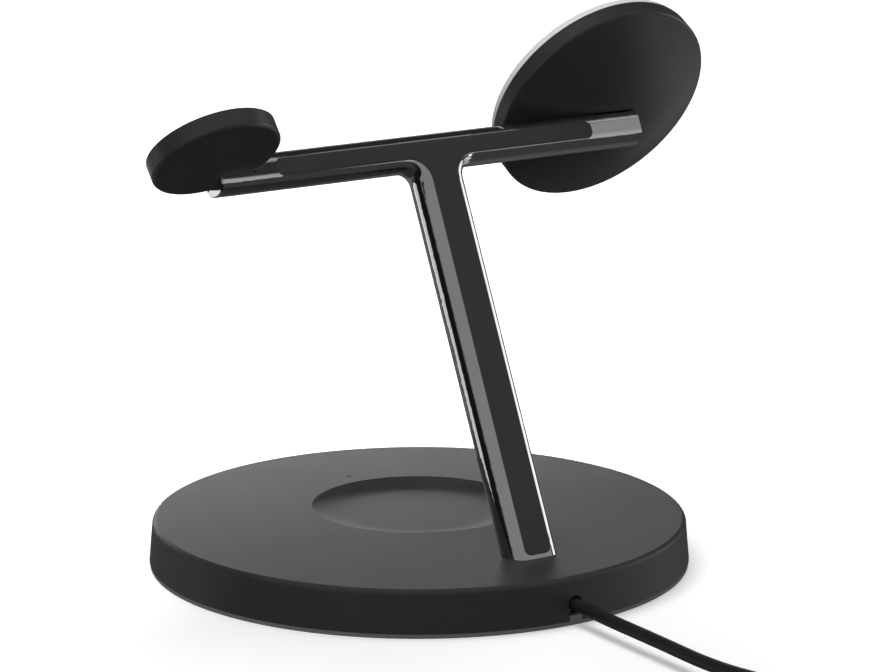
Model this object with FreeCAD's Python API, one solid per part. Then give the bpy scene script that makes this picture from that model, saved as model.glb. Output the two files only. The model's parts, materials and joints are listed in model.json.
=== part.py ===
import FreeCAD, Part
import math
import os

os.makedirs("parts", exist_ok=True)

# Charging stand for a phone, a watch and earbuds. Millimetres, +Z up, the phone's face looks to -Y.
# The origin is at the middle of the foot ring's underside, on the table.

# Round base
base_radius = 66.0
base_taper = 0.9
base_height = 11.3
edge_round = 1.2
cover_wall = 2.0
cover_top = 3.2
foot_height = 1.05
foot_inset = 0.2
foot_width = 12.0
plate_thickness = 2.05
boss_radius = 3.5
boss_from_wall = 5.6
boss_count = 4

# Earbud dish and status light in the top of the base
dish_x = -4.5
dish_y = -7.7
dish_radius = 25.9
dish_depth = 1.6
dish_sweep = 8.0
light_ahead_of_dish = 31.2
light_length = 1.4
light_width = 0.6
light_flange = 0.8

# Coil and ferrite under the dish
earbud_coil_outer = 21.0
earbud_coil_inner = 8.0
earbud_coil_height = 1.6
earbud_ferrite_radius = 22.0
earbud_ferrite_height = 0.8

# Circuit board round the foot of the post
board_width = 38.0
board_front = 11.0
board_from_grommet = 0.6
board_thickness = 1.2
standoff_height = 2.0
standoff_radius = 1.8
standoff_inset = 3.0

# Leaning T frame; lengths up the frame start at the top of the base
lean = 25.1
post_x = -2.3
post_from_edge = 18.2
post_flat = 7.0
bar_flat = 2.7
bar_height = 100.9
bar_half = 60.3
frame_thickness = 8.6
edge_bulge = 3.1
crotch_radius = 6.1
bar_end_chamfer = 0.3

# Matt inlay in the back of the frame
inlay_depth = 1.2
inlay_bar = 4.1
inlay_post = 7.2
inlay_half = 45.2
inlay_foot = 0.9
inlay_crotch = 5.6
inlay_corner = 1.6

# Wire channel under the inlay and the two leads in it
channel_depth = 5.0
channel_bar = 1.8
channel_post = 4.8
lead_radius = 0.6
lead_spacing = 2.6
lead_up = 1.3
lead_depth = 3.6
lead_bend = 1.5

# Phone puck on the bar's -X end
phone_inset = 3.45
phone_shift = 0.66
phone_tilt = 30.7
phone_radius = 28.85
phone_wall_height = 4.1
phone_dome = 7.0
phone_ridge_round = 1.0
phone_wall = 1.8
phone_cavity = 4.4
phone_floor = 2.0
phone_well_radius = 12.0
phone_sink = 1.0
phone_seat_cut = 1.44
phone_face_radius = 28.35
phone_face_height = 2.2
phone_face_round = 0.5
phone_magnet_outer = 26.5
phone_magnet_inner = 23.0
phone_magnet_height = 1.4
phone_magnet_count = 16
phone_magnet_gap_angle = 3.0
phone_coil_outer = 21.5
phone_coil_inner = 10.0
phone_coil_height = 1.5
phone_ferrite_radius = 22.0
phone_ferrite_height = 0.9
phone_board_radius = 18.0
phone_board_thickness = 1.0
phone_screw_from_end = 2.9
phone_screw_pitch = 4.8
phone_feed_pitch = 4.4

# Watch puck on the bar's +X end
watch_reach = 4.45
watch_shift = 11.74
watch_tilt = 50.8
watch_radius = 15.6
watch_height = 4.8
watch_back_round = 0.9
watch_wall = 1.7
watch_lip = 0.7
watch_floor = 0.8
watch_seat_cut = 6.07
watch_face_height = 1.0
watch_face_dish = 0.5
watch_face_rim = 1.6
watch_coil_outer = 9.6
watch_coil_inner = 6.5
watch_coil_height = 1.0
watch_ferrite_outer = 10.0
watch_ferrite_height = 0.6
watch_magnet_radius = 5.0
watch_magnet_height = 1.8
watch_screw_from_end = 2.8
watch_screw_back = 2.1

# Screws
plate_screw_radius = 1.3
plate_screw_grip = 4.0
plate_head_radius = 2.5
plate_head_height = 1.2
post_screw_radius = 1.25
post_screw_grip = 4.5
post_screw_spacing = 8.0
puck_screw_radius = 0.85
puck_screw_grip = 3.0
watch_screw_grip = 1.5
puck_head_radius = 1.6
puck_head_height = 1.1

# Power cord, its notch, its put-away coil and its plug
cord_diameter = 3.1
cord_lift = 0.25
notch_width = 3.9
sill_height = 2.3
grommet_length = 5.0
grommet_wall = 2.2
grommet_round = 1.0
grommet_from_wall = 0.6
coil_mean_radius = 18.6
coil_turns_wide = 6
coil_layers = 2
coil_lift = 0.95
coil_y = 172.0
coil_stub = 16.0
coil_bevel = 1.0
tie_width = 8.0
tie_thickness = 0.8
plug_length = 20.0
plug_width = 11.0
plug_round = 1.6
plug_boot = 9.0
plug_boot_radius = 2.4
plug_boot_tip = 1.9
plug_shell_length = 6.6
plug_shell_width = 8.3
plug_shell_height = 2.5

# Clearances
fit_gap = 0.15
curve_gap = 0.3
inlay_gap = 0.05

# Share of a run that a bend may take at each end, how far a cutter runs past a face, and a length's tolerance
bend_share = 0.45
overcut = 1.0
tiny = 0.01

# Values worked out from the sizes above
Vec = FreeCAD.Vector
X_AXIS = Vec(1, 0, 0)
Y_AXIS = Vec(0, 1, 0)
Z_AXIS = Vec(0, 0, 1)
cord_radius = cord_diameter / 2
inner_radius = base_radius - base_taper - cover_wall
boss_circle = inner_radius - boss_from_wall
post_back = base_radius - post_from_edge
plate_top = foot_height + plate_thickness
cover_under = base_height - cover_top
board_top = cover_under - standoff_height
cord_z = plate_top + cord_lift + cord_radius
slope = math.tan(math.radians(lean))
upright = math.cos(math.radians(lean))
frame_middle = frame_thickness / 2
bar_low = bar_height - bar_flat / 2
lead_v = bar_height + lead_up
phone_seat = phone_wall_height + phone_dome - phone_sink
coil_outer_turn = coil_mean_radius + (coil_turns_wide - 1) / 2 * cord_diameter
coil_low_z = coil_lift + cord_radius
coil_top_z = coil_low_z + (coil_layers - 1) * cord_diameter

# Cord route, chosen point by point: out of the notch and on to the put-away coil
cord_points = [
    (0, 58, 4.9),
    (0, 64, 4.9),
    (0.7, 78, 4.5),
    (1.4, 98, 4.3),
    (1.2, 120, 4.7),
    (0, 140, 5.6),
    (0, 156, 5.6),
]

# Placement of the frame: its own x runs along the bar, y up the post and z from the back face forwards
frame_place = FreeCAD.Placement(Vec(post_x, post_back, base_height), FreeCAD.Rotation(X_AXIS, 90 + lean))


def placed(shape, placement):
    return shape.transformed(placement.toMatrix())


def cylinder(radius, z0, z1, x=0, y=0):
    return Part.makeCylinder(radius, z1 - z0, Vec(x, y, z0))


def ring(outer, inner, z0, z1, x=0, y=0):
    return cylinder(outer, z0, z1, x, y).cut(cylinder(inner, z0, z1, x, y))


def box(x0, x1, y0, y1, z0, z1):
    return Part.makeBox(x1 - x0, y1 - y0, z1 - z0, Vec(x0, y0, z0))


def revolved(edges):
    face = Part.Face(Part.Wire(edges))
    return face.revolve(Vec(0, 0, 0), Z_AXIS, 360)


def lines(points):
    vectors = [Vec(r, 0, z) for r, z in points]
    return [Part.makeLine(a, b) for a, b in zip(vectors, vectors[1:])]


def arc(a, b, c):
    return Part.Arc(Vec(a[0], 0, a[1]), Vec(b[0], 0, b[1]), Vec(c[0], 0, c[1])).toShape()


def stadium(length, width, z0, z1, x=0, y=0):
    half = (length - width) / 2
    body = box(x - half, x + half, y - width / 2, y + width / 2, z0, z1)
    ends = [cylinder(width / 2, z0, z1, x - half, y), cylinder(width / 2, z0, z1, x + half, y)]
    return body.multiFuse(ends).removeSplitter()


def screw(shaft_radius, shaft_length, head_radius, head_height):
    # The head stands on z = 0 below, and the shaft points up from its top
    head = cylinder(head_radius, 0, head_height)
    shaft = cylinder(shaft_radius, head_height, head_height + shaft_length)
    return head.fuse(shaft).removeSplitter()


def route_wire(points, bend_limit):
    # Straight runs joined by tangent arcs, each as large as its two runs and the limit allow
    nodes = [Vec(*p) for p in points]
    edges = []
    radii = []
    start = nodes[0]
    for before, here, after in zip(nodes, nodes[1:], nodes[2:]):
        run_in = here.sub(before)
        run_out = after.sub(here)
        half_turn = run_in.getAngle(run_out) / 2
        reach = bend_share * min(run_in.Length, run_out.Length)
        radius = min(reach / math.tan(half_turn), bend_limit)
        reach = radius * math.tan(half_turn)
        way_in = Vec(run_in).normalize()
        way_out = Vec(run_out).normalize()
        enter = here.sub(Vec(way_in).multiply(reach))
        leave = here.add(Vec(way_out).multiply(reach))
        inward = Vec(way_out).sub(way_in).normalize()
        middle = here.add(inward.multiply(radius / math.cos(half_turn) - radius))
        edges.append(Part.LineSegment(start, enter).toShape())
        edges.append(Part.Arc(enter, middle, leave).toShape())
        radii.append(radius)
        start = leave
    edges.append(Part.LineSegment(start, nodes[-1]).toShape())
    return Part.Wire(edges), radii


def tube(points, radius, bend_limit):
    wire, radii = route_wire(points, bend_limit)
    along = Vec(*points[1]).sub(Vec(*points[0]))
    profile = Part.Wire(Part.Circle(Vec(*points[0]), along, radius).toShape())
    return wire.makePipeShell([profile], True, False)


def boss_places():
    steps = [math.radians(360 / boss_count * (k + 0.5)) for k in range(boss_count)]
    return [(boss_circle * math.cos(a), boss_circle * math.sin(a)) for a in steps]


def post_screw_places():
    # Half way through the post at half of the screws' grip
    y = post_back + slope * (base_height - plate_top - post_screw_grip / 2) - frame_middle / upright
    return [(post_x - post_screw_spacing / 2, y), (post_x + post_screw_spacing / 2, y)]


def board_edges():
    front = post_back - board_front
    back = grommet_back() - grommet_length - board_from_grommet
    return post_x - board_width / 2, post_x + board_width / 2, front, back


def standoff_places():
    x0, x1, y0, y1 = board_edges()
    xs = [x0 + standoff_inset, x1 - standoff_inset]
    return [(x, y) for x in xs for y in (y0 + standoff_inset, y1 - standoff_inset)]


def flat_sided_section(flat, grow, at):
    # Frame section: flat back and front, half-ellipse edges; at() turns (across, depth) into a point
    half = flat / 2
    deep = frame_middle + grow
    bulge = edge_bulge + grow

    def edge(side):
        middle = at(side * half, frame_middle)
        ellipse = Part.Ellipse(
            at(side * half, frame_middle + deep), at(side * (half + bulge), frame_middle), middle)
        return Part.ArcOfEllipse(ellipse, 0, math.pi).toShape()

    back = Part.makeLine(at(half, frame_middle - deep), at(-half, frame_middle - deep))
    front = Part.makeLine(at(-half, frame_middle + deep), at(half, frame_middle + deep))
    return Part.Face(Part.Wire(Part.__sortEdges__([edge(1), back, edge(-1), front])))


def bar_solid(x0, x1, grow=0):
    face = flat_sided_section(bar_flat, grow, lambda across, depth: Vec(x0, bar_height + across, depth))
    return face.extrude(Vec(x1 - x0, 0, 0))


def post_solid(v0, v1, grow=0):
    face = flat_sided_section(post_flat, grow, lambda across, depth: Vec(across, v0, depth))
    return face.extrude(Vec(0, v1 - v0, 0))


def crotch_block():
    # Block between bar and post, hollowed at both sides by a spool with the frame's edge shape
    reach = post_flat / 2 + crotch_radius
    low = bar_low - crotch_radius
    block = box(-reach, reach, low, bar_low, 0, frame_thickness)
    ellipse = Part.Ellipse(
        Vec(crotch_radius, 0, frame_thickness),
        Vec(crotch_radius - edge_bulge, 0, frame_middle),
        Vec(crotch_radius, 0, frame_middle))
    waist = Part.ArcOfEllipse(ellipse, 0, math.pi).toShape()
    sides = lines([(crotch_radius, 0), (0, 0), (0, frame_thickness), (crotch_radius, frame_thickness)])
    spool = revolved(Part.__sortEdges__([waist] + sides))
    for side in (-1, 1):
        block = block.cut(spool.translated(Vec(side * reach, low, 0)))
    return block


def post_foot_v():
    return -(base_height - plate_top + frame_thickness) / upright


def frame_blank():
    reach = post_flat / 2 + crotch_radius
    wide = bar_half + edge_bulge + bar_height
    over = box(-wide, wide, bar_low, bar_low + wide, 0, frame_thickness)
    pieces = [
        bar_solid(-reach, reach).common(over),
        bar_solid(reach, bar_half),
        crotch_block(),
        post_solid(post_foot_v(), bar_low - crotch_radius),
    ]
    blank = bar_solid(-bar_half, -reach).multiFuse(pieces).removeSplitter()
    ends = [e for e in blank.Edges if abs(abs(e.CenterOfMass.x) - bar_half) < tiny]
    return blank.makeChamfer(bar_end_chamfer, ends)


def inlay_block(grow, z0, z1):
    half = inlay_half + grow
    side = inlay_post / 2 + grow
    low = bar_height - inlay_bar / 2 - grow
    high = bar_height + inlay_bar / 2 + grow
    foot = inlay_foot - grow
    outline = [(-half, low), (-side, low), (-side, foot), (side, foot), (side, low), (half, low),
               (half, high), (-half, high), (-half, low)]
    face = Part.Face(Part.makePolygon([Vec(x, v, z0) for x, v in outline]))
    block = face.extrude(Vec(0, 0, z1 - z0))
    upright_edges = [e for e in block.Edges if abs(e.Vertexes[0].Z - e.Vertexes[1].Z) > (z1 - z0) / 2]
    inner = [e for e in upright_edges
             if abs(abs(e.CenterOfMass.x) - side) < tiny and abs(e.CenterOfMass.y - low) < tiny]
    outer = [e for e in upright_edges if not any(e.isSame(k) for k in inner)]
    block = block.makeFillet(inlay_corner + grow, outer)
    corners = [e for e in block.Edges
               if abs(abs(e.CenterOfMass.x) - side) < tiny and abs(e.CenterOfMass.y - low) < tiny]
    return block.makeFillet(inlay_crotch - grow, corners)


def puck_place(x, tilt, shift, seat_cut, seat_to_rim):
    # The puck's own z runs out of its face; its seat lies on a flat cut into the bar's edge
    turn = math.radians(lean + tilt)
    support = bar_flat / 2 * math.sin(turn)
    support += math.hypot(edge_bulge * math.sin(turn), frame_middle * math.cos(turn))
    out = support - seat_cut + seat_to_rim
    v = bar_height + out * math.sin(turn) + shift * math.cos(turn)
    d = frame_middle + out * math.cos(turn) - shift * math.sin(turn)
    return FreeCAD.Placement(Vec(x, v, d), FreeCAD.Rotation(X_AXIS, -(lean + tilt)))


phone_x = -(bar_half - phone_inset)
watch_x = bar_half + watch_reach
phone_on_frame = puck_place(phone_x, phone_tilt, phone_shift, phone_seat_cut, phone_seat)
watch_on_frame = puck_place(watch_x, watch_tilt, watch_shift, watch_seat_cut, watch_height)
phone_place = frame_place.multiply(phone_on_frame)
watch_place = frame_place.multiply(watch_on_frame)
phone_screw_x = [phone_screw_from_end, phone_screw_from_end + phone_screw_pitch]
phone_feed_x = -(bar_half - phone_screw_x[1] - phone_feed_pitch)


def dome_height(radius, grow=0):
    # Depth of the phone puck's domed back at a radius, measured from its ridge
    ball = (phone_radius ** 2 + phone_dome ** 2) / (2 * phone_dome)
    return math.sqrt((ball + grow) ** 2 - radius ** 2) - (ball - phone_dome)


def phone_outer(grow):
    edge = phone_radius + grow
    apex = (0, -phone_wall_height - dome_height(0, grow))
    middle = (edge / 2, -phone_wall_height - dome_height(edge / 2, grow))
    ridge = (edge, -phone_wall_height - dome_height(edge, grow))
    return revolved([arc(apex, middle, ridge)] + lines([ridge, (edge, grow), (0, grow), apex]))


def bar_in_phone():
    bar = bar_solid(-(bar_half + curve_gap), 0, curve_gap)
    bar = placed(bar, phone_on_frame.inverse())
    deep = phone_seat + phone_dome + frame_thickness
    wide = 2 * phone_radius
    return bar.common(box(-wide, wide, -wide, wide, -deep, -phone_seat))


def phone_housing():
    body = phone_outer(0)
    ridge = [e for e in body.Edges
             if abs(e.CenterOfMass.z + phone_wall_height) < tiny and e.Length > 4 * phone_radius]
    body = body.makeFillet(phone_ridge_round, ridge)
    body = body.cut(cylinder(phone_radius - phone_wall, -phone_cavity, overcut))
    body = body.cut(cylinder(phone_well_radius, phone_floor - phone_seat, 0))
    body = body.cut(bar_in_phone())
    for x in phone_screw_x:
        hole = cylinder(puck_screw_radius + fit_gap, -phone_seat - overcut, 0, -bar_half + x - phone_x)
        body = body.cut(hole)
    feed_x, feed_y = phone_feed_spot()
    return body.cut(cylinder(lead_radius + curve_gap, -phone_seat - overcut, 0, feed_x, feed_y))


def phone_feed_spot():
    # Where the phone lead rises, seen along the puck's axis
    spot = phone_on_frame.inverse().multVec(Vec(phone_feed_x, lead_v, lead_depth))
    return spot.x, spot.y


def phone_face():
    edge = phone_face_radius
    outline = [(0, 0), (edge, 0), (edge, phone_face_height), (0, phone_face_height), (0, 0)]
    disc = revolved(lines(outline))
    rim = [e for e in disc.Edges if abs(e.CenterOfMass.z - phone_face_height) < tiny and e.Length > edge]
    return disc.makeFillet(phone_face_round, rim)


def phone_magnets():
    step = 360 / phone_magnet_count
    arc_angle = step - phone_magnet_gap_angle
    face = Part.Face(Part.makePolygon([
        Vec(phone_magnet_inner, 0, -phone_magnet_height), Vec(phone_magnet_outer, 0, -phone_magnet_height),
        Vec(phone_magnet_outer, 0, 0), Vec(phone_magnet_inner, 0, 0),
        Vec(phone_magnet_inner, 0, -phone_magnet_height)]))
    one = face.revolve(Vec(0, 0, 0), Z_AXIS, arc_angle)
    return Part.makeCompound([one.rotated(Vec(0, 0, 0), Z_AXIS, k * step) for k in range(phone_magnet_count)])


def phone_coil():
    return ring(phone_coil_outer, phone_coil_inner, -phone_coil_height, 0)


def phone_ferrite():
    return cylinder(phone_ferrite_radius, -phone_coil_height - phone_ferrite_height, -phone_coil_height)


def phone_board():
    top = -phone_coil_height - phone_ferrite_height
    return cylinder(phone_board_radius, top - phone_board_thickness, top)


def puck_screw(grip, floor):
    # Head inside the puck, shaft through its floor and into the bar
    return screw(puck_screw_radius, floor + grip, puck_head_radius, puck_head_height)


def phone_screws():
    one = puck_screw(puck_screw_grip, phone_floor)
    one = one.rotated(Vec(0, 0, 0), X_AXIS, 180)
    top = phone_floor - phone_seat + puck_head_height
    return Part.makeCompound([one.translated(Vec(-bar_half + x - phone_x, 0, top)) for x in phone_screw_x])


def watch_screw_spot():
    # On the seat, near the bar's end and its back face
    on_bar = Vec(bar_half - watch_screw_from_end, bar_height, watch_screw_back)
    spot = watch_on_frame.inverse().multVec(on_bar)
    return spot.x, spot.y


def watch_housing():
    edge = watch_radius
    recess = edge - watch_lip
    inner = edge - watch_wall
    back = -watch_height
    floor = back + watch_floor
    body = revolved(lines([(0, back), (edge, back), (edge, 0), (recess, 0), (recess, -watch_face_height),
                           (inner, -watch_face_height), (inner, floor), (0, floor), (0, back)]))
    rim = [e for e in body.Edges if abs(e.CenterOfMass.z - back) < tiny and e.Length > 2 * math.pi * inner]
    body = body.makeFillet(watch_back_round, rim)
    x, y = watch_screw_spot()
    body = body.cut(cylinder(puck_screw_radius + fit_gap, back - overcut, 0, x, y))
    entry = Part.makeCylinder(
        lead_radius + curve_gap, watch_lead_end() - inlay_half, Vec(inlay_half, lead_v, lead_depth), X_AXIS)
    return body.cut(placed(entry, watch_on_frame.inverse()))


def watch_lead_end():
    # At the inside of the puck's wall, where the straight lead comes through it
    spot = watch_on_frame.inverse().multVec(Vec(watch_x, lead_v, lead_depth))
    inner = watch_radius - watch_wall
    return watch_x - math.sqrt(inner ** 2 - spot.y ** 2)


def watch_face():
    # Lies in the recess of the housing's rim, flush with it, and is hollowed a little
    edge = watch_radius - watch_lip - curve_gap
    hollow = edge - watch_face_rim
    under = -watch_face_height
    rim = (hollow, 0)
    low = -watch_face_dish
    ball = (hollow ** 2 + watch_face_dish ** 2) / (2 * watch_face_dish)
    middle = (hollow / 2, low + ball - math.sqrt(ball ** 2 - hollow ** 2 / 4))
    outline = lines([(0, low), (0, under), (edge, under), (edge, 0), rim])
    return revolved(outline + [arc(rim, middle, (0, low))])


def watch_coil():
    top = -watch_face_height
    return ring(watch_coil_outer, watch_coil_inner, top - watch_coil_height, top)


def watch_ferrite():
    top = -watch_face_height - watch_coil_height
    return ring(watch_ferrite_outer, watch_magnet_radius + curve_gap, top - watch_ferrite_height, top)


def watch_magnet():
    return cylinder(watch_magnet_radius, -watch_face_height - watch_magnet_height, -watch_face_height)


def watch_screw():
    one = puck_screw(watch_screw_grip, watch_floor).rotated(Vec(0, 0, 0), X_AXIS, 180)
    x, y = watch_screw_spot()
    return one.translated(Vec(x, y, watch_floor - watch_height + puck_head_height))


def bar_channel():
    phone_end = phone_feed_x - lead_radius - curve_gap
    watch_end = watch_lead_end()
    low = lead_v - channel_bar / 2
    return box(phone_end, watch_end, low, low + channel_bar, inlay_depth, channel_depth)


def post_channel():
    half = channel_post / 2
    top = lead_v + channel_bar / 2
    under_cover = -cover_top / upright
    covered = box(-half, half, post_foot_v(), top, inlay_depth, channel_depth)
    open_foot = box(-half, half, post_foot_v(), under_cover, -overcut, channel_depth)
    return covered.fuse(open_foot)


def t_frame():
    body = frame_blank().cut(inlay_block(inlay_gap, 0, inlay_depth))
    body = body.cut(bar_channel().fuse(post_channel()))
    wide = 2 * phone_radius
    phone_clear = phone_outer(curve_gap).common(box(-wide, wide, -wide, wide, -phone_seat, wide))
    screw_end = -phone_seat - puck_screw_grip - curve_gap
    for x in phone_screw_x:
        hole = cylinder(puck_screw_radius + fit_gap, screw_end, 0, -bar_half + x - phone_x)
        phone_clear = phone_clear.fuse(hole)
    feed_x, feed_y = phone_feed_spot()
    feed_z = phone_on_frame.inverse().multVec(Vec(phone_feed_x, lead_v, lead_depth)).z
    phone_clear = phone_clear.fuse(cylinder(lead_radius + curve_gap, feed_z, 0, feed_x, feed_y))
    body = body.cut(placed(phone_clear, phone_on_frame))
    screw_x, screw_y = watch_screw_spot()
    watch_clear = cylinder(watch_radius + curve_gap, -watch_height, watch_radius)
    watch_hole = cylinder(
        puck_screw_radius + fit_gap, -watch_height - watch_screw_grip - curve_gap, 0, screw_x, screw_y)
    body = body.cut(placed(watch_clear.fuse(watch_hole), watch_on_frame))
    body = placed(body, frame_place)
    reach = base_radius + bar_half
    body = body.cut(box(-reach, reach, -reach, reach, -reach, plate_top))
    for x, y in post_screw_places():
        hole = cylinder(post_screw_radius + fit_gap, 0, plate_top + post_screw_grip + curve_gap, x, y)
        body = body.cut(hole)
    return body


def t_inlay():
    # Its back follows the frame's own section, so it lies flush
    return placed(frame_blank().common(inlay_block(0, 0, inlay_depth)), frame_place)


def lead(puck_points, side):
    # Down the post's channel and out over the board
    x = side * lead_spacing / 2
    tail_z = board_top + lead_radius
    sine = math.sin(math.radians(lean))
    low_v = (tail_z - base_height + lead_depth * sine) / upright
    points = puck_points + [Vec(x, lead_v, lead_depth), Vec(x, low_v, lead_depth)]
    points = [frame_place.multVec(p) for p in points]
    end = points[-1].add(Vec(0, (lead_depth + frame_thickness) / 2 + lead_bend, 0))
    route = [tuple(p) for p in points + [end]]
    return tube(route, lead_radius, lead_bend)


def phone_lead():
    feed_x, feed_y = phone_feed_spot()
    inside = phone_on_frame.multVec(Vec(feed_x, feed_y, phone_floor - phone_seat + lead_radius))
    return lead([inside, Vec(phone_feed_x, lead_v, lead_depth)], -1)


def watch_lead():
    return lead([Vec(watch_lead_end(), lead_v, lead_depth)], 1)


def notch_cutter():
    # An arch through the wall, round the cord
    half = notch_width / 2
    inside = inner_radius - overcut
    outside = base_radius + overcut
    slot = box(-half, half, inside, outside, 0, cord_z)
    arch = Part.makeCylinder(half, outside - inside, Vec(0, inside, cord_z), Y_AXIS)
    return slot.fuse(arch)


def dish_cutter():
    # Upright at the rim, then a quarter ellipse that runs out into the flat floor
    floor = base_height - dish_depth
    flat = dish_radius - dish_sweep
    over = base_height + overcut
    ellipse = Part.Ellipse(
        Vec(dish_radius, 0, base_height), Vec(flat, 0, floor), Vec(flat, 0, base_height))
    wall = Part.ArcOfEllipse(ellipse, 0, math.pi / 2).toShape()
    rest = lines([(flat, floor), (0, floor), (0, over), (dish_radius, over), (dish_radius, base_height)])
    return revolved(Part.__sortEdges__([wall] + rest)).translated(Vec(dish_x, dish_y, 0))


def light_shape(grow, z0, z1):
    y = dish_y - light_ahead_of_dish
    return stadium(light_length + 2 * grow, light_width + 2 * grow, z0, z1, dish_x, y)


def base_cover():
    top_radius = base_radius - base_taper
    outline = [(0, cover_under), (inner_radius, cover_under), (inner_radius, foot_height),
               (base_radius, foot_height), (top_radius, base_height), (0, base_height), (0, cover_under)]
    body = revolved(lines(outline))
    rim = [e for e in body.Edges
           if abs(e.CenterOfMass.z - base_height) < tiny and e.Length > 2 * math.pi * inner_radius]
    body = body.makeFillet(edge_round, rim)
    bosses = [cylinder(boss_radius, plate_top, cover_under, x, y) for x, y in boss_places()]
    standoffs = [cylinder(standoff_radius, board_top, cover_under, x, y) for x, y in standoff_places()]
    body = body.multiFuse(bosses + standoffs)
    screw_end = plate_top + plate_screw_grip + curve_gap
    for x, y in boss_places():
        body = body.cut(cylinder(plate_screw_radius + fit_gap, 0, screw_end, x, y))
    body = body.cut(dish_cutter())
    body = body.cut(light_shape(fit_gap, cover_under, base_height))
    body = body.cut(notch_cutter())
    slot = post_solid(post_foot_v(), post_flat, fit_gap)
    return body.cut(placed(slot, frame_place))


def base_plate():
    disc = cylinder(inner_radius - fit_gap, foot_height, plate_top)
    for x, y in boss_places():
        disc = disc.cut(cylinder(plate_screw_radius + fit_gap, 0, plate_top, x, y))
        disc = disc.cut(cylinder(plate_head_radius + fit_gap, 0, foot_height + plate_head_height, x, y))
    for x, y in post_screw_places():
        disc = disc.cut(cylinder(post_screw_radius + fit_gap, 0, plate_top, x, y))
        disc = disc.cut(cylinder(plate_head_radius + fit_gap, 0, foot_height + plate_head_height, x, y))
    return disc


def foot_ring():
    # The ring has a sill that stands in the notch, under the cord
    outer = base_radius - foot_inset
    half = notch_width / 2 - fit_gap
    sill = box(-half, half, inner_radius, base_radius, 0, sill_height).common(cylinder(outer, 0, sill_height))
    return ring(outer, outer - foot_width, 0, foot_height).fuse(sill).removeSplitter()


def plate_screws():
    one = screw(plate_screw_radius, plate_thickness - plate_head_height + plate_screw_grip,
                plate_head_radius, plate_head_height)
    return Part.makeCompound([one.translated(Vec(x, y, foot_height)) for x, y in boss_places()])


def post_screws():
    one = screw(post_screw_radius, plate_thickness - plate_head_height + post_screw_grip,
                plate_head_radius, plate_head_height)
    return Part.makeCompound([one.translated(Vec(x, y, foot_height)) for x, y in post_screw_places()])


def earbud_coil():
    low = cover_under - earbud_coil_height
    return ring(earbud_coil_outer, earbud_coil_inner, low, cover_under, dish_x, dish_y)


def earbud_ferrite():
    top = cover_under - earbud_coil_height
    return cylinder(earbud_ferrite_radius, top - earbud_ferrite_height, top, dish_x, dish_y)


def main_board():
    x0, x1, y0, y1 = board_edges()
    board = box(x0, x1, y0, y1, board_top - board_thickness, board_top)
    hole = post_solid(post_foot_v(), 0, curve_gap + fit_gap)
    return board.cut(placed(hole, frame_place))


def status_light():
    pipe = light_shape(0, cover_under, base_height)
    flange = light_shape(light_flange, cover_under - light_flange, cover_under)
    return pipe.fuse(flange).removeSplitter()


def grommet_back():
    half = cord_radius + grommet_wall
    return math.sqrt(inner_radius ** 2 - half ** 2) - grommet_from_wall


def cord_grommet():
    # Held between the plate and the cover, just inside the notch
    half = cord_radius + grommet_wall
    back = grommet_back()
    block = box(-half, half, back - grommet_length, back, plate_top, cover_under)
    upright_edges = [e for e in block.Edges if abs(e.Vertexes[0].Z - e.Vertexes[1].Z) > grommet_round]
    block = block.makeFillet(grommet_round, upright_edges)
    hole = Part.makeCylinder(cord_radius + fit_gap, base_radius, Vec(0, 0, cord_z), Y_AXIS)
    return block.cut(hole)


def power_cord():
    solid = tube(cord_points, cord_radius, math.inf)
    wire, radii = route_wire(cord_points, math.inf)
    expected = math.pi * cord_radius ** 2 * wire.Length
    print("cord bend radii", [round(r, 1) for r in radii])
    print("cord volume", round(solid.Volume, 2), "section times length", round(expected, 2))
    return solid


def coil_centre():
    return coil_outer_turn, coil_y


def power_cord_coil():
    x, y = coil_centre()
    outer = coil_outer_turn + cord_radius
    inner = outer - coil_turns_wide * cord_diameter
    low = coil_lift
    high = coil_lift + coil_layers * cord_diameter
    body = ring(outer, inner, low, high, x, y)
    body = body.makeChamfer(coil_bevel, [e for e in body.Edges if e.Length > math.pi * inner])
    stub_in = Part.makeCylinder(cord_radius, coil_stub, Vec(0, y - coil_stub, coil_top_z), Y_AXIS)
    stub_out = Part.makeCylinder(
        cord_radius, coil_stub, Vec(2 * coil_outer_turn, y - coil_stub, coil_low_z), Y_AXIS)
    return body.fuse(stub_in).fuse(stub_out)


def cord_tie():
    # A flat strap round the bundle, on the far side of the coil
    x, y = coil_centre()
    outer = coil_outer_turn + cord_radius
    inner = outer - coil_turns_wide * cord_diameter
    near = y + math.sqrt(inner ** 2 - tie_width ** 2 / 4) - fit_gap
    far = y + outer + fit_gap
    high = coil_lift + coil_layers * cord_diameter + fit_gap
    low = coil_lift - fit_gap
    half = tie_width / 2
    hole = box(x - half, x + half, near, far, low, high)
    band = box(x - half, x + half, near - tie_thickness, far + tie_thickness, low - tie_thickness,
               high + tie_thickness)
    return band.cut(hole)


def plug_parts():
    # The plug lies beside the coil, at the end of its lowest outer turn
    x = 2 * coil_outer_turn
    boot_end = coil_y - coil_stub
    body_back = boot_end - plug_boot
    front = body_back - plug_length
    boot = Part.makeCone(
        plug_boot_radius, plug_boot_tip, plug_boot, Vec(x, body_back, coil_low_z), Y_AXIS)
    body = box(x - plug_width / 2, x + plug_width / 2, front, body_back, 0, 2 * coil_low_z)
    body = body.makeFillet(plug_round, [e for e in body.Edges if abs(e.Length - plug_length) < tiny])
    shell = stadium(plug_shell_width, plug_shell_height, 0, plug_shell_length)
    shell = shell.rotated(Vec(0, 0, 0), X_AXIS, 90).translated(Vec(x, front, coil_low_z))
    return body.fuse(boot).removeSplitter(), shell


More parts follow.
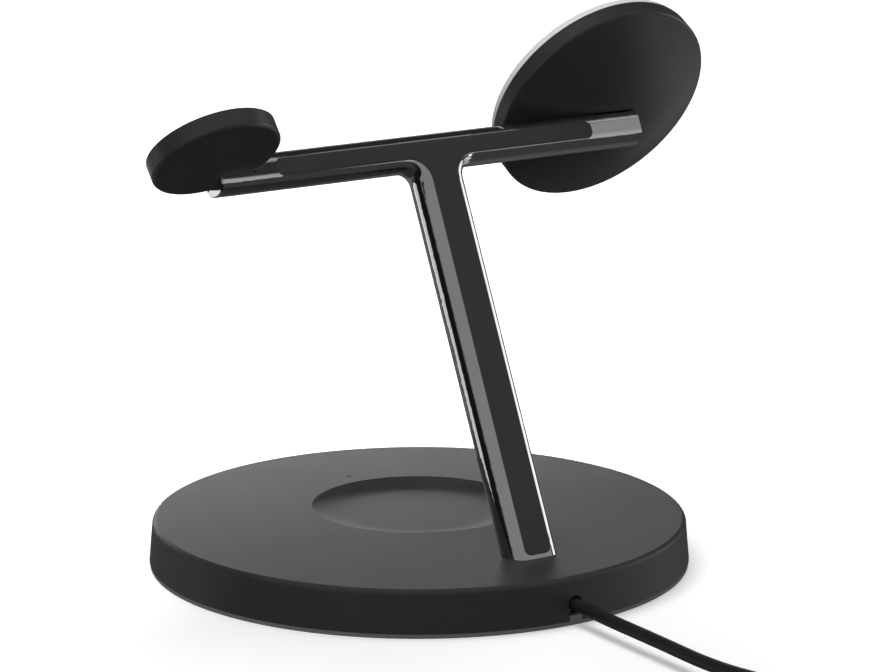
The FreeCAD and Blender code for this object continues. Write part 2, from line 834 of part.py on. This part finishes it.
plug_body, plug_shell = plug_parts()
nodes = {
    "base_cover": base_cover(),
    "base_plate": base_plate(),
    "foot_ring": foot_ring(),
    "plate_screws": plate_screws(),
    "post_screws": post_screws(),
    "earbud_coil": earbud_coil(),
    "earbud_ferrite": earbud_ferrite(),
    "main_board": main_board(),
    "status_light": status_light(),
    "t_frame": t_frame(),
    "t_inlay": t_inlay(),
    "phone_lead": phone_lead(),
    "watch_lead": watch_lead(),
    "phone_housing": placed(phone_housing(), phone_place),
    "phone_face": placed(phone_face(), phone_place),
    "phone_magnets": placed(phone_magnets(), phone_place),
    "phone_coil": placed(phone_coil(), phone_place),
    "phone_ferrite": placed(phone_ferrite(), phone_place),
    "phone_board": placed(phone_board(), phone_place),
    "phone_screws": placed(phone_screws(), phone_place),
    "watch_housing": placed(watch_housing(), watch_place),
    "watch_face": placed(watch_face(), watch_place),
    "watch_coil": placed(watch_coil(), watch_place),
    "watch_ferrite": placed(watch_ferrite(), watch_place),
    "watch_magnet": placed(watch_magnet(), watch_place),
    "watch_screw": placed(watch_screw(), watch_place),
    "cord_grommet": cord_grommet(),
    "power_cord": power_cord(),
    "power_cord_coil": power_cord_coil(),
    "cord_tie": cord_tie(),
    "plug_body": plug_body,
    "plug_shell": plug_shell,
}

for name, shape in nodes.items():
    shape.exportStep("parts/%s.step" % name)
    print(name, "solids", len(shape.Solids), "valid", shape.isValid(), "volume", round(shape.Volume, 1))
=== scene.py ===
import json
import math
import bpy
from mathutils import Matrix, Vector


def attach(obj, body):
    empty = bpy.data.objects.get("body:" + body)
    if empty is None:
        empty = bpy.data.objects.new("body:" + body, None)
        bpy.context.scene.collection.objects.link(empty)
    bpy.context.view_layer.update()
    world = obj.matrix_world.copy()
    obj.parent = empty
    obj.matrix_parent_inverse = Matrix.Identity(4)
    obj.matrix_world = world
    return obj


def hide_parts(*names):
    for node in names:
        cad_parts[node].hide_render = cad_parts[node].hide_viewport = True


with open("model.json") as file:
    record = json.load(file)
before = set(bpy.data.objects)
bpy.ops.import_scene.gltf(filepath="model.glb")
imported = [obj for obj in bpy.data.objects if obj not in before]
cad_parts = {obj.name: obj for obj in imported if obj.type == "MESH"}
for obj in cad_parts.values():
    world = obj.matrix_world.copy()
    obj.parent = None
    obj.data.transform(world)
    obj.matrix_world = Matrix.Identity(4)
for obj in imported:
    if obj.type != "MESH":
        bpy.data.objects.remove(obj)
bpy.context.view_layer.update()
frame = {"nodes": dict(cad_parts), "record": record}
scene = bpy.context.scene
nodes = frame["nodes"]

# Camera at the photograph's viewing angle
CAMERA_PLACE = (0.50748, 0.76671, 0.26976)
CAMERA_LOOK = (-0.5438, -0.8081, -0.2266)
CAMERA_LENS = 156.7
CAMERA_SENSOR = 36.0
CAMERA_CLIP = (0.05, 50.0)

# The cord's route out of the notch, and the put-away coil that it runs on to
CORD_DIAMETER = 0.0031
CORD_ROUTE = [
    (0, 0.058, 0.0049),
    (0, 0.064, 0.0049),
    (0.0006, 0.078, 0.0046),
    (0.0010, 0.098, 0.0046),
    (0.0014, 0.120, 0.0042),
    (0, 0.140, 0.0056),
    (0, 0.156, 0.0056),
]
COIL_CENTRE = (0.02635, 0.172)
COIL_OUTER = 0.02635
COIL_INNER = 0.01085
COIL_TOP = 0.0056
COIL_LOW = 0.0025
COIL_STUB = 0.016
LAYER_TURNS = 5
TURN_POINTS = 16
SPLINE_ORDER = 3
CURVE_STEPS = 6

# Bump strength and size of the mottle in millimetres, for moulded pieces and for metal
MOULDED_BUMP = 0.3
MOULDED_MOTTLE = 14
METAL_BUMP = 0.1
METAL_MOTTLE = 9

# Noise detail of the mottle and the grain, and the noise values between which the colour changes
MOTTLE_DETAIL = 3.0
GRAIN_DETAIL = 2.0
MOTTLE_SPAN = (0.3, 0.7)

# The strap: darkest and lightest grey, roughness, threads' pitch and depth in millimetres, bump strength
STRAP_DARK = 0.010
STRAP_LIGHT = 0.024
STRAP_ROUGH = 0.8
STRAP_PITCH = 0.9
STRAP_DEPTH = 0.15
STRAP_BUMP = 0.6

# The floor: its size, its colours to the camera and to other rays, and its glow near and far from a centre,
# a painted light that washes out the object's shadows away from the centre
FLOOR_HALF = 20.0
FLOOR_COLOUR = 0.8
FLOOR_BOUNCE = 0.4
FLOOR_CENTRE = (0.05, 0.08, 0)
FLOOR_NEAR = 0.06
FLOOR_FAR = 0.21
FLOOR_GLOW = 0.31
FLOOR_FAR_GLOW = 0.9

# Lamps: name, place, target, width, height, watts, spread in degrees, whether polished faces mirror it
LAMPS = [
    ("top_light", (0.20, -0.20, 1.25), (0, 0, 0), 0.8, 0.8, 12.5, 180, False),
    ("back_light", (-0.085, -0.265, 0.05), (-0.02, -0.05, 0), 0.40, 0.05, 0.049, 70, True),
    ("left_light", (1.1, 0.5, 0.3), (0, 0, 0.08), 0.5, 0.5, 2.2, 180, False),
    ("right_light", (-1.0, 0.6, 0.35), (0, 0, 0.08), 0.5, 0.5, 1.2, 180, False),
]
AMBIENT = 0.20

# Panels that polished faces mirror: direction, degrees where full and where gone, strength, band of heights
MIRRORED = [
    ((0.35, 0.85, 0.40), 62, 75, 0.355, "behind"),
    ((-0.58, 0.80, 0.05), 10, 24, 0.26, "behind"),
    ((-0.62, 0.61, 0.49), 3, 6, 0.08, "all"),
    ((-0.05, -0.98, 0.12), 15, 52, 0.28, "ahead"),
    ((0.66, -0.72, -0.19), 8, 13, 1.00, "all"),
    ((0.497, -0.849, -0.183), 2, 4, 1.20, "all"),
    ((-0.95, 0.12, 0.18), 12, 24, 1.9, "all"),
    ((-0.85, -0.18, -0.48), 8, 18, 0.50, "all"),
    ((-0.84, 0.30, -0.44), 8, 19, 0.90, "all"),
    ((-0.545, 0.22, 0.81), 9, 17, 0.35, "all"),
    ((-0.545, -0.20, 0.815), 25, 50, 0.022, "all"),
    ((-0.40, -0.80, -0.45), 40, 62, 0.062, "all"),
    ((0.25, -0.50, -0.83), 20, 42, 0.12, "all"),
    ((0.05, -0.95, -0.31), 14, 28, 0.11, "all"),
    ((-0.50, 0.30, -0.80), 35, 70, 0.06, "all"),
    ((-0.70, 0.65, -0.31), 3, 5.5, 4.5, "all"),
]
MIRRORED_REST = 0.012

# Dark cards among the panels: direction, degrees where full and where gone, share of light taken
DARK_CARDS = [
    ((-0.495, 0.690, 0.530), 1.5, 2.8, 0.90),
    ((-0.495, 0.775, 0.390), 2.0, 4.0, 0.50),
]

# Heights at which a band is gone and full, with one edge for panels behind and two for panels ahead
BEHIND_EDGE = (-0.24, -0.14)
AHEAD_LOW_EDGE = (-0.05, 0.10)
AHEAD_HIGH_EDGE = (0.45, 0.28)


def aim(item, direction):
    item.rotation_mode = "QUATERNION"
    item.rotation_quaternion = Vector(direction).to_track_quat("-Z", "Y")


def make_camera():
    data = bpy.data.cameras.new("camera")
    data.lens = CAMERA_LENS
    data.sensor_width = CAMERA_SENSOR
    data.clip_start, data.clip_end = CAMERA_CLIP
    camera = bpy.data.objects.new("camera", data)
    camera.location = CAMERA_PLACE
    aim(camera, CAMERA_LOOK)
    scene.collection.objects.link(camera)
    scene.camera = camera


def coil_points():
    # Clockwise from above: in along the top layer, down on the innermost turn, out along the lower layer
    layer = LAYER_TURNS * TURN_POINTS
    drop = TURN_POINTS
    last = 2 * layer + drop + TURN_POINTS // 2
    # The spline's points stand a little outside the turns that it makes
    swell = 1 / math.cos(math.pi / TURN_POINTS)
    points = []
    for k in range(1, last):
        angle = math.pi - 2 * math.pi * k / TURN_POINTS
        if k <= layer:
            radius = COIL_OUTER + (COIL_INNER - COIL_OUTER) * k / layer
            z = COIL_TOP
        elif k <= layer + drop:
            radius = COIL_INNER
            z = COIL_TOP + (COIL_LOW - COIL_TOP) * (k - layer) / drop
        else:
            share = min(1, (k - layer - drop) / layer)
            radius = COIL_INNER + (COIL_OUTER - COIL_INNER) * share
            z = COIL_LOW
        radius *= swell
        x = COIL_CENTRE[0] + radius * math.cos(angle)
        y = COIL_CENTRE[1] + radius * math.sin(angle)
        points.append((x, y, z))
    return points


def make_cord(material):
    # One NURBS spline along the route's points, the turns of the coil and the stub to the plug
    end_x = COIL_CENTRE[0] + COIL_OUTER
    coil_y = COIL_CENTRE[1]
    points = CORD_ROUTE + [(0, coil_y, COIL_TOP)] + coil_points()
    points += [(end_x, coil_y, COIL_LOW), (end_x, coil_y - COIL_STUB, COIL_LOW)]
    curve = bpy.data.curves.new("cord", "CURVE")
    curve.dimensions = "3D"
    curve.resolution_u = CURVE_STEPS
    curve.bevel_depth = CORD_DIAMETER / 2
    curve.bevel_resolution = CURVE_STEPS
    curve.use_fill_caps = True
    spline = curve.splines.new("NURBS")
    spline.points.add(len(points) - 1)
    for target, p in zip(spline.points, points):
        target.co = (*p, 1)
    spline.order_u = SPLINE_ORDER
    spline.use_endpoint_u = True
    cord = bpy.data.objects.new("cord", curve)
    scene.collection.objects.link(cord)
    curve.materials.append(material)
    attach(cord, "root")
    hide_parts("power_cord", "power_cord_coil")


def new_material(name):
    material = bpy.data.materials.new(name)
    material.use_nodes = True
    tree = material.node_tree
    shader = tree.nodes["Principled BSDF"]
    place = tree.nodes.new("ShaderNodeTexCoord")
    return material, tree, shader, place.outputs["Object"]


def noise(tree, place, size_mm, detail):
    node = tree.nodes.new("ShaderNodeTexNoise")
    node.inputs["Scale"].default_value = 1000 / size_mm
    node.inputs["Detail"].default_value = detail
    tree.links.new(place, node.inputs["Vector"])
    return node.outputs["Fac"]


def ramp(tree, value, low, high, start, end):
    node = tree.nodes.new("ShaderNodeValToRGB")
    node.color_ramp.elements[0].position = start
    node.color_ramp.elements[0].color = (*low, 1)
    node.color_ramp.elements[1].position = end
    node.color_ramp.elements[1].color = (*high, 1)
    tree.links.new(value, node.inputs["Fac"])
    return node.outputs["Color"]


def spread(tree, value, low, high):
    node = tree.nodes.new("ShaderNodeMapRange")
    node.inputs["To Min"].default_value = low
    node.inputs["To Max"].default_value = high
    tree.links.new(value, node.inputs["Value"])
    return node.outputs["Result"]


def bump(tree, shader, height, depth_mm, strength):
    node = tree.nodes.new("ShaderNodeBump")
    node.inputs["Strength"].default_value = strength
    node.inputs["Distance"].default_value = depth_mm / 1000
    tree.links.new(height, node.inputs["Height"])
    tree.links.new(node.outputs["Normal"], shader.inputs["Normal"])


def grained(name, low, high, rough, rough_range, grain_mm, depth_mm, strength, mottle_mm):
    # A faint mottle in colour and gloss, and a fine grain
    material, tree, shader, place = new_material(name)
    mottle = noise(tree, place, mottle_mm, MOTTLE_DETAIL)
    grain = noise(tree, place, grain_mm, GRAIN_DETAIL)
    gloss = spread(tree, mottle, rough - rough_range, rough + rough_range)
    tree.links.new(ramp(tree, mottle, low, high, *MOTTLE_SPAN), shader.inputs["Base Color"])
    tree.links.new(gloss, shader.inputs["Roughness"])
    bump(tree, shader, grain, depth_mm, strength)
    return material, shader


def moulded(name, low, high, rough, rough_range, grain_mm, depth_mm, specular=0.5):
    # Plastic or rubber
    material, shader = grained(
        name, low, high, rough, rough_range, grain_mm, depth_mm, MOULDED_BUMP, MOULDED_MOTTLE)
    shader.inputs["Specular IOR Level"].default_value = specular
    return material


def metal(name, low, high, rough, rough_range, grain_mm, depth_mm, strength=METAL_BUMP):
    material, shader = grained(
        name, low, high, rough, rough_range, grain_mm, depth_mm, strength, METAL_MOTTLE)
    shader.inputs["Metallic"].default_value = 1.0
    return material


def woven(name, low, high):
    # Strap: two crossing sets of threads
    material, tree, shader, place = new_material(name)
    threads = tree.nodes.new("ShaderNodeMath")
    threads.operation = "MULTIPLY"
    for axis, socket in zip("XY", threads.inputs):
        wave = tree.nodes.new("ShaderNodeTexWave")
        wave.bands_direction = axis
        # A band is pi / 10 wide at scale 1
        wave.inputs["Scale"].default_value = 100 * math.pi / STRAP_PITCH
        tree.links.new(place, wave.inputs["Vector"])
        tree.links.new(wave.outputs["Fac"], socket)
    tree.links.new(ramp(tree, threads.outputs[0], low, high, 0, 1), shader.inputs["Base Color"])
    shader.inputs["Roughness"].default_value = STRAP_ROUGH
    bump(tree, shader, threads.outputs[0], STRAP_DEPTH, STRAP_BUMP)
    return material


def grey(value):
    return (value, value, value)


# Colours from dark to light, roughness and its range, grain and depth in mm, specular level if not 0.5
MOULDED = {
    "soft_black": (grey(0.032), grey(0.036), 0.50, 0.03, 0.35, 0.02, 0.45),
    "foot_rubber": (grey(0.22), grey(0.25), 0.7, 0.05, 0.5, 0.03),
    "ferrite": (grey(0.045), grey(0.06), 0.7, 0.05, 0.3, 0.02),
    "circuit_board": ((0.02, 0.12, 0.05), (0.03, 0.17, 0.07), 0.4, 0.05, 0.8, 0.02),
    "light_pipe": (grey(0.010), grey(0.013), 0.60, 0.03, 0.3, 0.005, 0.2),
    "inlay_black": (grey(0.039), grey(0.043), 0.52, 0.03, 0.3, 0.015, 0.4),
    "lead_black": (grey(0.012), grey(0.016), 0.45, 0.05, 0.4, 0.01),
    "puck_black": (grey(0.030), grey(0.034), 0.38, 0.03, 0.3, 0.015),
    "face_white": (grey(0.79), grey(0.81), 0.5, 0.04, 0.4, 0.015, 0.4),
    "watch_white": (grey(0.76), grey(0.80), 0.35, 0.04, 0.5, 0.008),
    "grommet_rubber": (grey(0.012), grey(0.016), 0.6, 0.05, 0.4, 0.02),
    "cord_black": (grey(0.014), grey(0.016), 0.42, 0.04, 0.4, 0.012, 0.40),
    "plug_black": (grey(0.010), grey(0.013), 0.45, 0.04, 0.4, 0.015),
}
# The same for metal, with the bump's strength last where it isn't METAL_BUMP
METAL = {
    "plate_steel": (grey(0.42), grey(0.55), 0.35, 0.06, 0.6, 0.02),
    "screw_steel": (grey(0.45), grey(0.6), 0.3, 0.05, 0.4, 0.01),
    "copper": ((0.62, 0.30, 0.16), (0.75, 0.40, 0.24), 0.35, 0.05, 0.4, 0.02),
    "dark_chrome": (grey(0.61), grey(0.64), 0.06, 0.015, 6.0, 0.002, 0.03),
    "magnet_nickel": ((0.5, 0.49, 0.46), (0.62, 0.6, 0.57), 0.25, 0.05, 0.5, 0.01),
    "plug_steel": (grey(0.5), grey(0.62), 0.22, 0.04, 0.5, 0.01),
}
MATERIALS = {
    **{name: moulded(name, *values) for name, values in MOULDED.items()},
    **{name: metal(name, *values) for name, values in METAL.items()},
    "tie_black": woven("tie_black", grey(STRAP_DARK), grey(STRAP_LIGHT)),
}


def dress():
    for part in frame["record"]["subparts"]:
        mesh = nodes[part["node"]].data
        mesh.materials.clear()
        mesh.materials.append(MATERIALS[part["material_slot"]])


def fade(tree, value, start, end, low=0.0, high=1.0):
    # From low at the start to high at the end, with no kink
    node = tree.nodes.new("ShaderNodeMapRange")
    node.interpolation_type = "SMOOTHSTEP"
    node.inputs["From Min"].default_value = start
    node.inputs["From Max"].default_value = end
    node.inputs["To Min"].default_value = low
    node.inputs["To Max"].default_value = high
    tree.links.new(value, node.inputs["Value"])
    return node.outputs["Result"]


def join(tree, operation, a, b):
    node = tree.nodes.new("ShaderNodeMath")
    node.operation = operation
    for socket, value in zip(node.inputs, (a, b)):
        if isinstance(value, float):
            socket.default_value = value
        else:
            tree.links.new(value, socket)
    return node.outputs[0]


def choose(tree, ray, plain, special):
    node = tree.nodes.new("ShaderNodeMixShader")
    tree.links.new(ray, node.inputs["Fac"])
    tree.links.new(plain, node.inputs[1])
    tree.links.new(special, node.inputs[2])
    return node.outputs[0]


def matt(tree, value):
    node = tree.nodes.new("ShaderNodeBsdfDiffuse")
    node.inputs["Color"].default_value = (*grey(value), 1)
    return node.outputs[0]


def make_floor():
    # White to the camera with the shadows left in it near a centre and painted out by glow further away;
    # plain grey to soft light, clear to glossy rays
    corners = [(-1, -1), (1, -1), (1, 1), (-1, 1)]
    mesh = bpy.data.meshes.new("floor")
    mesh.from_pydata([(FLOOR_HALF * x, FLOOR_HALF * y, 0) for x, y in corners], [], [(0, 1, 2, 3)])
    floor = bpy.data.objects.new("floor", mesh)
    scene.collection.objects.link(floor)
    material = bpy.data.materials.new("floor")
    material.use_nodes = True
    tree = material.node_tree
    tree.nodes.clear()
    out = tree.nodes.new("ShaderNodeOutputMaterial")
    rays = tree.nodes.new("ShaderNodeLightPath")
    camera_ray = rays.outputs["Is Camera Ray"]
    place = tree.nodes.new("ShaderNodeTexCoord")
    distance = tree.nodes.new("ShaderNodeVectorMath")
    distance.operation = "DISTANCE"
    distance.inputs[1].default_value = FLOOR_CENTRE
    tree.links.new(place.outputs["Object"], distance.inputs[0])
    # Painted light: the camera's glow rises away from FLOOR_CENTRE and washes out the object's shadows
    # there
    further = fade(
        tree, distance.outputs["Value"], FLOOR_NEAR, FLOOR_FAR, FLOOR_GLOW, FLOOR_FAR_GLOW)
    glow = tree.nodes.new("ShaderNodeEmission")
    tree.links.new(join(tree, "MULTIPLY", camera_ray, further), glow.inputs["Strength"])
    glowing = tree.nodes.new("ShaderNodeAddShader")
    tree.links.new(matt(tree, FLOOR_COLOUR), glowing.inputs[0])
    tree.links.new(glow.outputs[0], glowing.inputs[1])
    seen = choose(tree, camera_ray, matt(tree, FLOOR_BOUNCE), glowing.outputs[0])
    clear = tree.nodes.new("ShaderNodeBsdfTransparent")
    surface = choose(tree, rays.outputs["Is Glossy Ray"], seen, clear.outputs[0])
    tree.links.new(surface, out.inputs["Surface"])
    mesh.materials.append(material)


def make_lamp(name, location, target, width, height, power, spread_angle, mirrored):
    data = bpy.data.lights.new(name, "AREA")
    data.shape = "RECTANGLE"
    data.size = width
    data.size_y = height
    data.energy = power
    data.spread = math.radians(spread_angle)
    lamp = bpy.data.objects.new(name, data)
    lamp.location = location
    aim(lamp, Vector(target) - Vector(location))
    lamp.visible_camera = False
    lamp.visible_glossy = mirrored
    scene.collection.objects.link(lamp)


def make_world():
    # White to the camera, a dim even light on the object, and the panels for what is polished
    world = bpy.data.worlds.new("studio")
    world.use_nodes = True
    scene.world = world
    tree = world.node_tree
    tree.nodes.clear()
    out = tree.nodes.new("ShaderNodeOutputWorld")
    rays = tree.nodes.new("ShaderNodeLightPath")
    way = tree.nodes.new("ShaderNodeTexCoord").outputs["Generated"]

    def toward(direction):
        node = tree.nodes.new("ShaderNodeVectorMath")
        node.operation = "DOT_PRODUCT"
        node.inputs[1].default_value = Vector(direction).normalized()
        tree.links.new(way, node.inputs[0])
        return node.outputs["Value"]

    def cone(direction, full, gone):
        edge = math.cos(math.radians(gone))
        return fade(tree, toward(direction), edge, math.cos(math.radians(full)))

    def background(strength):
        node = tree.nodes.new("ShaderNodeBackground")
        if isinstance(strength, float):
            node.inputs["Strength"].default_value = strength
        else:
            tree.links.new(strength, node.inputs["Strength"])
        return node.outputs[0]

    height = toward((0, 0, 1))
    low_edge = fade(tree, height, *AHEAD_LOW_EDGE)
    ahead = join(tree, "MULTIPLY", low_edge, fade(tree, height, *AHEAD_HIGH_EDGE))
    bands = {"behind": fade(tree, height, *BEHIND_EDGE), "ahead": ahead}
    total = MIRRORED_REST
    for direction, full, gone, strength, band in MIRRORED:
        light = join(tree, "MULTIPLY", cone(direction, full, gone), strength)
        if band in bands:
            light = join(tree, "MULTIPLY", light, bands[band])
        total = join(tree, "ADD", total, light)
    for direction, full, gone, taken in DARK_CARDS:
        dark = join(tree, "MULTIPLY", cone(direction, full, gone), taken)
        total = join(tree, "MULTIPLY", total, join(tree, "SUBTRACT", 1.0, dark))
    shown = join(
        tree, "MAXIMUM", rays.outputs["Is Camera Ray"], rays.outputs["Is Transmission Ray"])
    lit = choose(tree, rays.outputs["Is Glossy Ray"], background(AMBIENT), background(total))
    tree.links.new(choose(tree, shown, lit, background(1.0)), out.inputs["Surface"])


scene.view_settings.view_transform = "Standard"
make_camera()
make_cord(MATERIALS["cord_black"])
dress()
make_floor()
for lamp in LAMPS:
    make_lamp(*lamp)
make_world()
